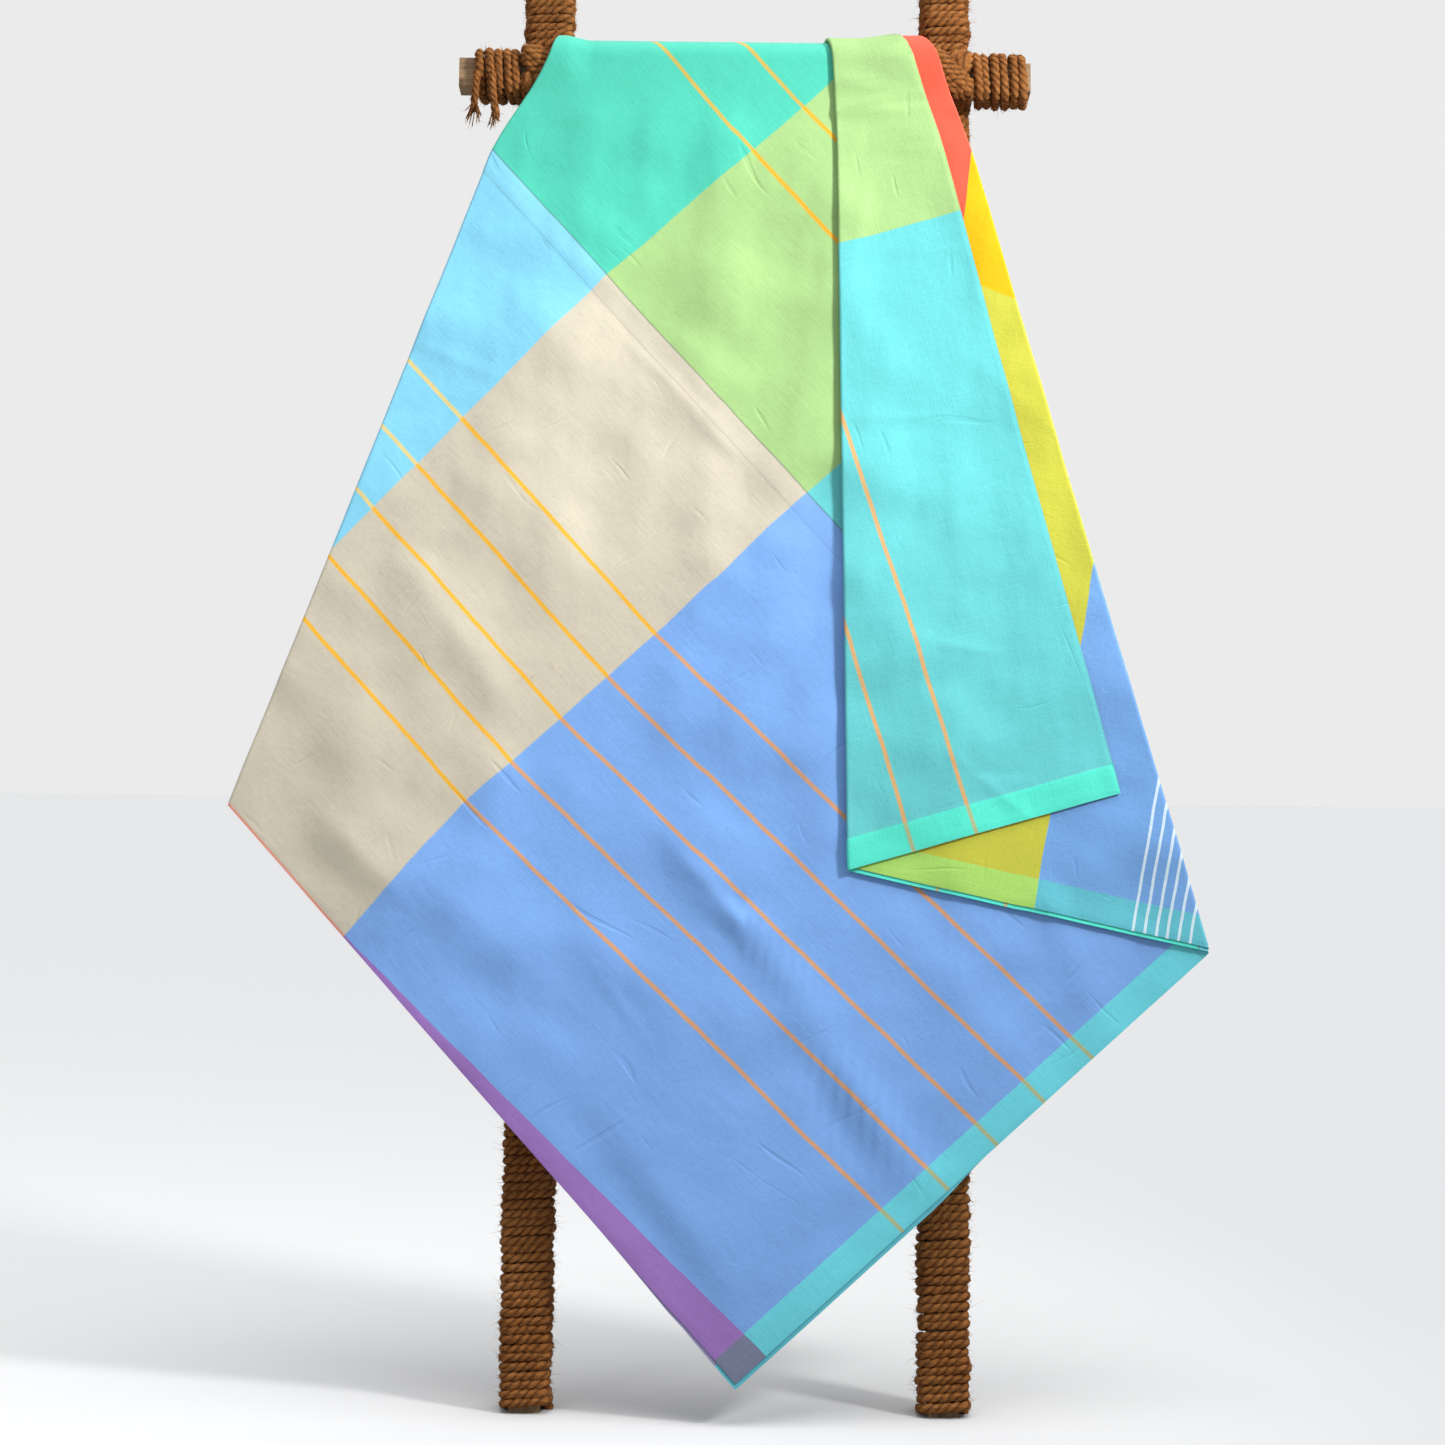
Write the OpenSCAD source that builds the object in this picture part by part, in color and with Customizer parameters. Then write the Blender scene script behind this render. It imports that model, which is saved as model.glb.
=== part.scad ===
// Patchwork quilt hung in diagonal folds over the top rung of a leaning ladder rack.
// Millimetres, +Z up. The origin is on the floor, midway between the two feet.
// The ladder is drawn upright with its front towards -Y, and then leans back about the X axis.

/* [Rack] */
// Length of each post along the post
post_l = 1800; // [1720:10:1900]
// Side of the square battens that the posts and rungs are cut from
batten = 37; // [34:1:40]
// Distance between the middle lines of the two posts
post_pitch = 492; // [485:1:500]
// Length of each rung
rung_l = 703; // [690:1:720]
// How far the middle of each rung lies to the left of the rack's middle
rung_shift = 2.5; // [0:0.5:5]
// Height of the top rung's middle line, measured along the post
top_rung_s = 1617; // [1600:1:1630]
// Distance from one rung to the next, measured along the post
rung_pitch = 385; // [370:1:390]
// Angle that the rack leans back from upright
lean = 8; // [7:0.5:9]

/* [Rope] */
// Diameter of the rope wound round the battens
rope_d = 12.5; // [11:0.5:13]
// Bare wood left at the left end of each rung
bare_end = 15; // [10:1:20]

/* [Quilt] */
// Width of the quilt laid flat
quilt_w = 1524; // [1500:1:1540]
// Length of the quilt laid flat
quilt_l = 2286; // [2250:1:2320]
// Thickness of one folded layer, two plies and the air between them
layer_t = 3.2; // [2.8:0.1:3.4]
// Gap between the quilt and the rack
cloth_gap = 0.6; // [0.5:0.1:1]

/* [Folds] */
// How far the gather point lies beyond the right selvedge of the flat quilt
gather_out = 81; // [70:1:90]
// How far the gather point lies above the hem of the flat quilt
gather_up = 1736; // [1720:1:1750]
// Distance of the gather point to the right of the rack's middle
gather_x = 19; // [10:1:25]
// Height of the gather point if the cloth went straight up, along the post
gather_s = 2402; // [2395:1:2410]
// Direction of the right-hand folds, from straight down
right_dir = 16; // [15:0.5:16]
// Cut angle, round the gather point, of the fold between flap and pleat
flap_fold = 13.4; // [13:0.1:14]
// Cut angle of the fold between pleat and front panel
pleat_fold = 26.3; // [26:0.1:27]
// Cut angle of the left fold, between the front panel and the first inner layer
left_fold = 62.5; // [62:0.1:63]
// Cut angle of the fold between the first and the second inner layer
inner_fold = 97.5; // [96:0.1:98]
// Cut angle of the last fold, between the second and the third inner layer
last_fold = 132; // [130:0.1:133]

/* [Hidden] */
$fn = 48;
half_wrap = batten / 2 + rope_d;
wrap_r = 14;
batten_r = 2;
big = 4000;
sides = ["left", "right"];
rungs = [1, 2, 3, 4];
rope_runs = [1, 2, 3, 4, 5];
function side_x(side) = (side == "left" ? -1 : 1) * post_pitch / 2;
function rung_s(i) = top_rung_s - (4 - i) * rung_pitch;
rung_y = -batten;
rung_end_left = -rung_l / 2 - rung_shift;
rung_end_right = rung_l / 2 - rung_shift;
// ends of each run of rope on a post, from the floor up: a run stops at every rung
run_gap = 0.5;
below_floor = 30;
bare_top = 4;
function run_from(k) = k == 1 ? -below_floor : rung_s(k - 1) + half_wrap + run_gap;
function run_to(k) = k == 5 ? post_l - bare_top : rung_s(k) - half_wrap - run_gap;

// outermost point of the flat quilt in the cut direction a, as a distance from the gather point
hem_limit = 89;
function reach_hem(a) = a < hem_limit ? gather_up / cos(a) : big;
function reach_top(a) = a > 180 - hem_limit ? -(quilt_l - gather_up) / cos(a) : big;
function reach_left(a) = (quilt_w + gather_out) / sin(a);
function reach(a) = min(reach_hem(a), reach_top(a), reach_left(a));
function selvedge(a) = gather_out / sin(a);
flap_edge = atan(gather_out / gather_up);
hem_corner = atan((quilt_w + gather_out) / gather_up);
top_corner = 180 - atan((quilt_w + gather_out) / (quilt_l - gather_up));
top_edge = 180 - atan(gather_out / (quilt_l - gather_up));

// cut angles where each layer starts and ends, and the direction that it starts from
fold_dir_flap = right_dir - (pleat_fold - flap_fold);
fold_dir_left = right_dir - (left_fold - pleat_fold);
fold_dir_inner = fold_dir_left + (inner_fold - left_fold);
fold_dir_last = fold_dir_inner - (last_fold - inner_fold);
cuts = [flap_edge, flap_fold, pleat_fold, left_fold, inner_fold, last_fold, top_edge];
dirs = [
    fold_dir_flap + (flap_fold - flap_edge),
    fold_dir_flap,
    right_dir,
    fold_dir_left,
    fold_dir_inner,
    fold_dir_last,
    fold_dir_last + (top_edge - last_fold)
];
front_layers = 5;
all_layers = 6;

// where the stack of layers lies against the rung
stack_in = half_wrap + cloth_gap;
front_stack = front_layers * layer_t;
full_stack = all_layers * layer_t;
rail_top_s = top_rung_s + stack_in;
tip_half = 12;
tip_gap = 20;
back_drop = gather_s - rail_top_s - tip_gap;
// the back fall starts a little below the saddle and a little behind the rung
back_start = 12;
back_gap = 7;
saddle_left = -238;
saddle_right = 203;
post_clear = 3;
behind_left = -post_pitch / 2 + half_wrap + post_clear;
shoulder_s = rail_top_s - 110;

// ---- general shapes ----

// square with round corners, in the plane
module round_square(side, r) {
    square([side, side - 2 * r], center = true);
    square([side - 2 * r, side], center = true);
    for (x = [-1, 1], y = [-1, 1])
        translate([x * (side / 2 - r), y * (side / 2 - r)])
            circle(r);
}

// stands the upright ladder at its lean
module leaning() {
    rotate([-lean, 0, 0])
        children();
}

// removes whatever reaches below the floor
module above_floor() {
    difference() {
        children();
        translate([-big / 2, -big / 2, -big])
            cube(big);
    }
}

// bar along X with a section drawn in the plane across it
module along_x(length) {
    rotate([90, 0, 90])
        linear_extrude(length)
            children();
}

// ---- rack ----

module post(side) {
    color("burlywood")
        above_floor()
            leaning()
                translate([side_x(side), 0, -below_floor])
                    linear_extrude(post_l + below_floor)
                        round_square(batten, batten_r);
}

module rung(i) {
    color("tan")
        leaning()
            translate([rung_end_left, rung_y, rung_s(i)])
                along_x(rung_l)
                    round_square(batten, batten_r);
}

// sleeve of wound rope, with the batten left out of it
module rope_section() {
    difference() {
        round_square(2 * half_wrap, wrap_r);
        round_square(batten, batten_r);
    }
}

module post_wrap(side, k) {
    color("saddlebrown")
        above_floor()
            leaning()
                translate([side_x(side), 0, run_from(k)])
                    linear_extrude(run_to(k) - run_from(k))
                        rope_section();
}

module rung_rope(i, x_from, x_to) {
    leaning()
        translate([x_from, rung_y, rung_s(i)])
            along_x(x_to - x_from)
                rope_section();
}

module rung_wrap(i) {
    clear = post_pitch / 2 - half_wrap - run_gap;
    color("sienna")
        rung_rope(i, -clear, clear);
}

module rung_end_wrap(side, i) {
    clear = post_pitch / 2 + half_wrap + run_gap;
    color("sienna")
        if (side == "left")
            rung_rope(i, rung_end_left + bare_end, -clear);
        else
            rung_rope(i, clear, rung_end_right);
}

// crossed turns in front of the rung and behind the post, joined at the four corners of the joint
module lashing(side, i) {
    corner = batten / 2 + rope_d / 2;
    front = rung_y - half_wrap;
    depth = half_wrap - front;
    color("peru")
        leaning()
            translate([side_x(side), 0, rung_s(i)])
                intersection() {
                    union() {
                        for (turn = [-45, 45], y = [front, batten / 2])
                            translate([0, y + rope_d / 2, 0])
                                rotate([0, turn, 0])
                                    cube([2 * corner * sqrt(2), rope_d, 2.4 * rope_d], center = true);
                        for (x = [-1, 1], z = [-1, 1])
                            translate([x * corner, front + depth / 2, z * corner])
                                cube([rope_d, depth, rope_d], center = true);
                    }
                    lashing_room(front, depth);
                }
}

module lashing_room(front, depth) {
    translate([-half_wrap, (front + half_wrap) / 2, 0])
        along_x(2 * half_wrap)
            union() {
                square([depth - 2 * wrap_r, 2 * half_wrap], center = true);
                square([depth, 2 * (half_wrap - wrap_r)], center = true);
                for (y = [-1, 1], z = [-1, 1])
                    translate([y * (depth / 2 - wrap_r), z * (half_wrap - wrap_r)])
                        circle(wrap_r);
            }
}

// ---- quilt ----

// point of the folded quilt, from its cut angle, its distance and the layer that it is in
function folded(a, r, layer) =
    let (turn = (layer % 2 == 1) ? -1 : 1,
         dir = dirs[layer - 1] + turn * (a - cuts[layer - 1]))
    [gather_x + r * sin(dir), gather_s - r * cos(dir)];

// outline of one folded layer: outer edge with the quilt's corners, then back along the selvedge
function layer_outline(layer) =
    let (from = cuts[layer - 1],
         to = cuts[layer],
         corners = [for (c = [hem_corner, top_corner]) if (c > from && c < to) c],
         outer = concat([from], corners, [to]))
    concat([for (a = outer) folded(a, reach(a), layer)],
           [folded(to, selvedge(to), layer)],
           layer == 1 ? [] : [folded(from, selvedge(from), layer)]);

// cloth narrows at the shoulders where it meets the rung
module fall_limit() {
    polygon([
        [-big, -big],
        [-big, shoulder_s - big],
        [-308, shoulder_s],
        [saddle_left, rail_top_s],
        [saddle_right, rail_top_s],
        [245, rail_top_s - 30],
        [278, shoulder_s],
        [big, shoulder_s - big],
        [big, -big]
    ]);
}

// one layer of the front fall, flat against the layer behind it
module front_layer(layer) {
    back = stack_in - rung_y + (front_layers - layer) * layer_t;
    leaning()
        translate([0, -back, 0])
            rotate([90, 0, 0])
                linear_extrude(layer_t)
                    intersection() {
                        polygon(layer_outline(layer));
                        fall_limit();
                        translate([-big / 2, top_rung_s - big])
                            square(big);
                    }
}

module quilt_front_flap() {
    color("turquoise")
        front_layer(1);
}

module quilt_right_pleat() {
    color("gold")
        front_layer(2);
}

module quilt_front_panel() {
    color("cornflowerblue")
        front_layer(3);
}

module quilt_inner_layer_1() {
    color("mediumaquamarine")
        front_layer(4);
}

module quilt_inner_layer_2() {
    color("lightsteelblue")
        front_layer(5);
}

// section of the stack over the upper half of the rung, seen along the rung
module saddle_section() {
    outer = 2 * (stack_in + front_stack);
    intersection() {
        difference() {
            round_square(outer, wrap_r + front_stack);
            round_square(2 * stack_in, wrap_r + cloth_gap);
        }
        translate([-outer, 0])
            square(2 * outer);
    }
}

// the layers pass over the rung, wider in front of the posts than between them
module quilt_saddle() {
    between = post_pitch / 2 - half_wrap - post_clear;
    front_room = batten - half_wrap - post_clear;
    color("mediumturquoise")
        leaning()
            translate([0, rung_y, top_rung_s])
                intersection() {
                    translate([saddle_left, 0, 0])
                        along_x(saddle_right - saddle_left)
                            saddle_section();
                    union() {
                        translate([-big / 2, -big, -big / 2])
                            cube([big, big + front_room, big]);
                        translate([-between, -big / 2, -big / 2])
                            cube([2 * between, big, big]);
                    }
                }
}

// all layers hang straight down behind the rung and run together at the gather point
module quilt_back_fall() {
    rung_mid_y = top_rung_s * sin(lean) + rung_y * cos(lean);
    rung_mid_z = top_rung_s * cos(lean) - rung_y * sin(lean);
    near = rung_mid_y + stack_in + back_gap;
    color("mediumseagreen")
        translate([0, near + full_stack, 0])
            rotate([90, 0, 0])
                linear_extrude(full_stack)
                    polygon([
                        [behind_left, rung_mid_z - back_start],
                        [saddle_right, rung_mid_z - back_start],
                        [gather_x + tip_half, rung_mid_z - back_drop],
                        [gather_x - tip_half, rung_mid_z - back_drop]
                    ]);
}

for (side = sides) {
    post(side);
    for (k = rope_runs)
        post_wrap(side, k);
    for (i = rungs) {
        rung_end_wrap(side, i);
        lashing(side, i);
    }
}
for (i = rungs) {
    rung(i);
    rung_wrap(i);
}
quilt_front_flap();
quilt_right_pleat();
quilt_front_panel();
quilt_inner_layer_1();
quilt_inner_layer_2();
quilt_saddle();
quilt_back_fall();
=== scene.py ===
import math
import bpy
import numpy as np
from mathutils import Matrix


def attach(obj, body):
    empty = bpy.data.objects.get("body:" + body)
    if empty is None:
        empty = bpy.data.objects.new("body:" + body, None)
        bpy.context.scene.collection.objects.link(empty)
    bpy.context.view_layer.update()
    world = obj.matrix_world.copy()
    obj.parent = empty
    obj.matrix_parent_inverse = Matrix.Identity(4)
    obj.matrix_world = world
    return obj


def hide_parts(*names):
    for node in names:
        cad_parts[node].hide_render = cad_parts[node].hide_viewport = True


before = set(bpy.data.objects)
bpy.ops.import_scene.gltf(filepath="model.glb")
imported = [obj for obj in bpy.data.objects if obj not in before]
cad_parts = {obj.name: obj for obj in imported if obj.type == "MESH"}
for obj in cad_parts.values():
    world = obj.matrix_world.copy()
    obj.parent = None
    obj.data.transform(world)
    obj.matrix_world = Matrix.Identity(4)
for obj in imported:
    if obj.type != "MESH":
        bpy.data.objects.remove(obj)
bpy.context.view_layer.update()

# ---------------------------------------------------------------- sizes, in metres
LEAN = math.radians(8)
BATTEN = 0.037
ROPE_D = 0.0125
HALF_WRAP = BATTEN / 2 + ROPE_D
POST_X = 0.246
RUNG_Y = -BATTEN
RUNG_S = [0.462, 0.847, 1.232, 1.617]
TOP_RUNG = RUNG_S[-1]
RUNG_LEFT, RUNG_RIGHT = -0.354, 0.349
BARE_END = 0.015
ROPE_PITCH = 0.0104
ROPE_R = 0.0056
ROPE_LAY = 0.030
LASHING_R = 0.0058
LASHING_PITCH = 0.0098
# a lashing gets as many hairs as this length of wrapped batten
LASHING_LENGTH = 0.15
# how far the second set of turns stands off the first, and how far a lashing's middle turn stands proud
LASHING_LIFT = 0.0045
LASHING_CROWN = 0.0025
# how far a turn of rope strays from its place on the batten
STRAY = 0.0009
# the two loose ends of rope by the left post: x at the top, sideways sway, drop
LOOSE_ENDS = [(-0.331, -0.004, 0.052), (-0.312, 0.007, 0.060)]
END_R = 0.0045
FRAY_R = 0.0007
FRAY_COUNT = 16
# the turns next to a joint run in under its lashing
TUCK = 0.006
POST_FOOT, POST_TOP = -0.004, 1.796
# loose hairs and short fuzz, per metre of wrapped batten
HAIRS = 1800
FUZZ = 11000
ROPE_SEED = 4

QUILT_W, QUILT_L = 1.524, 2.286
LAYER = 0.0032
CLOTH_GAP = 0.0006
# the point where all folds meet: on the flat quilt (out past the selvedge, up from the hem) and on the rack
GATHER_OUT, GATHER_UP = 0.081, 1.736
GATHER_X, GATHER_S = 0.019, 2.402
# the fold lines' directions from that point, and the right outline's direction as it hangs, in degrees
RIGHT_DIR = 16.0
FOLD_CUTS = [13.4, 26.3, 62.5, 97.5, 132.0]
# radius of the turn at a fold, and of the wrapped rung's corners
FOLD_R = 0.0016
RAIL_CORNER = 0.014
# how far right of its fold the flap lies, how much further at its top, and how far up its lower end is
FLAP_RIGHT, FLAP_RIGHT_TOP, FLAP_UP = 0.013, 0.034, 0.013
# half the distance between the two plies at the rim, and what it gains inside
HALF_RIM, HALF_GAIN = 0.0003, 0.0006
# how far the seam and the hem stand proud of the face
SEAM_PROUD, HEM_PROUD = 0.0005, 0.0004
# how far the backing hangs out past the face at the hem, and how far it stops short on the pleat
BACKING_LONGER, BACKING_SHORTER = 0.007, 0.005
# how deep a layer's own creases may sink towards the layer behind it
CREASE_FLOOR = -0.0009
# how far the lashings lift the cloth at the ends of the top rung
LIFT_LEFT, LIFT_RIGHT = 0.006, 0.007
ROWS = 345
SELVEDGE_COLUMNS = 150
CREASE_COUNT, CREASE_SEED = 34, 11
CRUMPLE_WAVES, CRUMPLE_SEED = 46, 5
CRUMPLE_HEIGHT = 0.0017
# stands for no edge in that direction
FAR_AWAY = 9.0

# the woven pattern on the flat quilt, from its left edge and its lower hem
HEM = 0.036
BORDER = 0.047
EDGE_LINE = 0.003
SEAM_U = QUILT_W / 2
SEAM_BAND = 0.026
WEFT_1, WEFT_2 = 0.716, 1.086
WARP_GREEN, WARP_TEAL = 0.245, 0.48
WARP_1, WARP_2 = 0.963, 1.197
STRIPES = [0.260, 0.332, 0.410, 0.484, 0.561, 0.997, 1.081, 1.273, 1.348]
STRIPE_W = 0.0050
SKEW = 0.047
FLAP_SKEW = 0.047
WEFT_RISE = 0.028
WHITE_STRIPES = [0.0094, 0.0235, 0.0376, 0.0505, 0.0646, 0.0787]
WHITE_STRIPE_W = 0.0034
WEAVE = 0.0007


def srgb(code):
    """Linear colour of a hex code such as 5CDFC5."""
    parts = [int(code[i:i + 2], 16) / 255 for i in (0, 2, 4)]
    return tuple(c / 12.92 if c <= 0.04045 else ((c + 0.055) / 1.055) ** 2.4 for c in parts) + (1.0,)


def smooth(a, b, x):
    """0 below a, 1 above b, and a smooth step between them."""
    t = np.clip((x - a) / (b - a), 0, 1)
    return t * t * (3 - 2 * t)


def to_world(p):
    """Points of the upright ladder, leant back about the X axis."""
    p = np.asarray(p, float)
    out = p.copy()
    out[..., 1] = p[..., 1] * math.cos(LEAN) + p[..., 2] * math.sin(LEAN)
    out[..., 2] = -p[..., 1] * math.sin(LEAN) + p[..., 2] * math.cos(LEAN)
    return out


# ---------------------------------------------------------------- camera, light and floor
AMBIENT = 0.38
FLOOR_BOUNCE = 0.38


def make_camera():
    data = bpy.data.cameras.new("camera")
    data.lens = 81.0
    data.sensor_width = 36.0
    camera = bpy.data.objects.new("camera", data)
    camera.location = (-0.0217, -3.829, 0.8117)
    camera.rotation_euler = (math.radians(90), math.radians(-0.6), 0)
    bpy.context.scene.collection.objects.link(camera)
    bpy.context.scene.camera = camera


def area_light(name, place, aim, size, power, spread=180):
    data = bpy.data.lights.new(name, "AREA")
    data.shape = "DISK"
    data.size = size
    data.energy = power
    data.spread = math.radians(spread)
    light = bpy.data.objects.new(name, data)
    light.location = place
    way = [aim[i] - place[i] for i in range(3)]
    light.rotation_euler = (
        math.atan2(math.hypot(way[0], way[1]), -way[2]),
        0,
        math.atan2(way[1], way[0]) - math.pi / 2,
    )
    bpy.context.scene.collection.objects.link(light)


def make_studio():
    world = bpy.data.worlds.new("studio")
    bpy.context.scene.world = world
    world.use_nodes = True
    tree = world.node_tree
    backdrop = tree.nodes["Background"]
    backdrop.inputs["Color"].default_value = srgb("EBEBEB")
    soft = tree.nodes.new("ShaderNodeBackground")
    soft.inputs["Color"].default_value = srgb("F4F7FB")
    soft.inputs["Strength"].default_value = AMBIENT
    paths = tree.nodes.new("ShaderNodeLightPath")
    choose = tree.nodes.new("ShaderNodeMixShader")
    tree.links.new(paths.outputs["Is Camera Ray"], choose.inputs[0])
    tree.links.new(soft.outputs[0], choose.inputs[1])
    tree.links.new(backdrop.outputs[0], choose.inputs[2])
    tree.links.new(choose.outputs[0], tree.nodes["World Output"].inputs["Surface"])
    bpy.context.scene.view_settings.view_transform = "Standard"
    area_light("key", place=(1.75, -1.15, 2.15), aim=(-0.1, 0, 1.34), size=0.40, power=12.8, spread=76)
    area_light("fill", place=(-1.9, -2.6, 2.2), aim=(0, 0, 1.1), size=1.2, power=6)
    data = bpy.data.lights.new("overhead", "SUN")
    data.energy = 1.95
    data.angle = math.radians(50)
    overhead = bpy.data.objects.new("overhead", data)
    overhead.rotation_euler = (math.radians(4), math.radians(6), 0)
    bpy.context.scene.collection.objects.link(overhead)
    make_floor()


def make_floor():
    mesh = bpy.data.meshes.new("floor")
    side = 30.0
    corners = [(-side, -side, 0), (side, -side, 0), (side, side, 0), (-side, side, 0)]
    mesh.from_pydata(corners, [], [(0, 1, 2, 3)])
    floor = bpy.data.objects.new("floor", mesh)
    bpy.context.scene.collection.objects.link(floor)
    mat = bpy.data.materials.new("floor_pale")
    mat.use_nodes = True
    tree = mat.node_tree
    shader = tree.nodes["Principled BSDF"]
    # the floor looks pale, but throws only part of its light back up, so that the folds keep their shading
    paths = tree.nodes.new("ShaderNodeLightPath")
    tone = tree.nodes.new("ShaderNodeMapRange")
    tone.inputs["To Min"].default_value = FLOOR_BOUNCE
    tone.inputs["To Max"].default_value = srgb("EDEDED")[0]
    tree.links.new(paths.outputs["Is Camera Ray"], tone.inputs["Value"])
    tree.links.new(tone.outputs[0], shader.inputs["Base Color"])
    shader.inputs["Roughness"].default_value = 0.9
    shader.inputs["Specular IOR Level"].default_value = 0.1
    mesh.materials.append(mat)


# ---------------------------------------------------------------- material helpers
class Nodes:
    """Short calls for building one material's node tree."""

    def __init__(self, name):
        self.mat = bpy.data.materials.new(name)
        self.mat.use_nodes = True
        self.tree = self.mat.node_tree
        self.shader = self.tree.nodes["Principled BSDF"]

    def put(self, socket, value):
        if isinstance(value, bpy.types.NodeSocket):
            self.tree.links.new(value, socket)
        else:
            socket.default_value = value

    def add(self, kind, out, settings=None, **inputs):
        node = self.tree.nodes.new(kind)
        for key, value in (settings or {}).items():
            setattr(node, key, value)
        for key, value in inputs.items():
            self.put(node.inputs[key.replace("_", " ")], value)
        return node.outputs[out]

    def math(self, op, a, b=0.0, c=0.0, clamp=False):
        node = self.tree.nodes.new("ShaderNodeMath")
        node.operation = op
        node.use_clamp = clamp
        for socket, value in zip(node.inputs, (a, b, c)):
            self.put(socket, value)
        return node.outputs[0]

    def mix(self, factor, a, b, blend="MIX"):
        node = self.tree.nodes.new("ShaderNodeMix")
        node.data_type = "RGBA"
        node.blend_type = blend
        node.clamp_factor = True
        self.put(node.inputs[0], factor)
        self.put(node.inputs[6], a)
        self.put(node.inputs[7], b)
        return node.outputs[2]

    def noise(self, vector, scale, detail=2.0, rough=0.5):
        return self.add("ShaderNodeTexNoise", "Fac",
                        Vector=vector, Scale=scale, Detail=detail, Roughness=rough)

    def vector(self, x, y, z=0.0):
        return self.add("ShaderNodeCombineXYZ", 0, X=x, Y=y, Z=z)

    def step(self, value, edge, soft=0.0006):
        """0 below the edge and 1 above it, over a soft width."""
        return self.add("ShaderNodeMapRange", 0, {"interpolation_type": "SMOOTHSTEP"},
                        Value=value, From_Min=edge - soft, From_Max=edge + soft)

    def band(self, value, low, high, soft=0.0006):
        return self.math("MULTIPLY", self.step(value, low, soft),
                         self.math("SUBTRACT", 1.0, self.step(value, high, soft)))

    def bump(self, height, distance, strength=1.0, normal=None):
        node = self.tree.nodes.new("ShaderNodeBump")
        node.inputs["Strength"].default_value = strength
        node.inputs["Distance"].default_value = distance
        self.put(node.inputs["Height"], height)
        if normal is not None:
            self.put(node.inputs["Normal"], normal)
        return node.outputs[0]


def mesh_object(name, points, faces, material, uv):
    """A smooth mesh piece from numpy arrays; uv has one pair for each point."""
    mesh = bpy.data.meshes.new(name)
    faces = np.asarray(faces, np.int32)
    count, corners = faces.shape
    mesh.vertices.add(len(points))
    mesh.vertices.foreach_set("co", np.asarray(points, np.float32).ravel())
    mesh.loops.add(count * corners)
    mesh.loops.foreach_set("vertex_index", faces.ravel())
    mesh.polygons.add(count)
    mesh.polygons.foreach_set("loop_start", np.arange(0, count * corners, corners, dtype=np.int32))
    mesh.polygons.foreach_set("loop_total", np.full(count, corners, np.int32))
    mesh.update(calc_edges=True)
    layer = mesh.uv_layers.new(name="cut")
    layer.data.foreach_set("uv", np.asarray(uv, np.float32)[faces.ravel()].ravel())
    mesh.polygons.foreach_set("use_smooth", np.full(count, True))
    mesh.validate()
    mesh.materials.append(material)
    obj = bpy.data.objects.new(name, mesh)
    bpy.context.scene.collection.objects.link(obj)
    return obj


# ---------------------------------------------------------------- quilt materials
def skewed(n, u, u0, v0):
    """The warp stripes of the face run a little askew, and lean to the left as they go up."""
    left = n.math("MULTIPLY", n.math("MULTIPLY", v0, 1 / WEFT_1, clamp=True), SKEW)
    left = n.math("MULTIPLY", left, n.math("SUBTRACT", 1.0, n.step(u0, 0.67, 0.07)))
    u = n.math("ADD", u, left)
    right = n.math("MULTIPLY", n.math("MULTIPLY", v0, FLAP_SKEW), n.step(u0, 1.14, 0.03))
    return n.math("ADD", u, right)


def face_colour(n, u, u0, low, top, hem):
    right = n.step(u0, SEAM_U, 0.0004)
    left_col = n.mix(top, n.mix(low, srgb("D5CCB7"), srgb("82B1F1")), srgb("8AD9F6"))
    right_col = n.mix(top, n.mix(low, srgb("A6CC84"), srgb("69CDCF")), srgb("50CBB1"))
    colour = n.mix(right, left_col, right_col)
    hem_col = n.mix(right, srgb("73DEEB"), srgb("5CEFD6"))
    colour = n.mix(hem, colour, hem_col)
    # border along the left edge: lilac below, and higher up, where the skew has taken it off the cloth,
    # a thin salmon line
    inside = n.math("MAXIMUM", n.math("LESS_THAN", u, BORDER), n.math("LESS_THAN", u0, EDGE_LINE))
    border_col = n.mix(low, srgb("F0A08C"), n.mix(hem, srgb("A67CC8"), srgb("8389A4")))
    colour = n.mix(inside, colour, border_col)
    stripe_left = n.mix(top, n.mix(low, srgb("FFBC14"), srgb("E3A56C")), srgb("F2D783"))
    stripe_right = n.mix(top, n.mix(low, srgb("F8AE1C"), srgb("E6AE6A")), srgb("CFAF48"))
    stripe_col = n.mix(right, stripe_left, stripe_right)
    stripe_col = n.mix(hem, stripe_col, srgb("B9C08A"))
    total = None
    for edge in STRIPES:
        one = n.math("COMPARE", u, edge, STRIPE_W / 2)
        total = one if total is None else n.math("MAXIMUM", total, one)
    colour = n.mix(n.math("MULTIPLY", total, 0.92), colour, stripe_col)
    # felled seam: a slightly darker band with a shadow line at each edge
    band = n.band(u0, SEAM_U - SEAM_BAND, SEAM_U, 0.0005)
    colour = n.mix(n.math("MULTIPLY", band, 0.05), colour, srgb("6F6A66"))
    for edge, weight in ((SEAM_U - SEAM_BAND, 0.16), (SEAM_U, 0.45)):
        line = n.math("COMPARE", u0, edge, 0.0010)
        colour = n.mix(n.math("MULTIPLY", line, weight), colour, srgb("4E4A4C"))
    return colour


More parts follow.
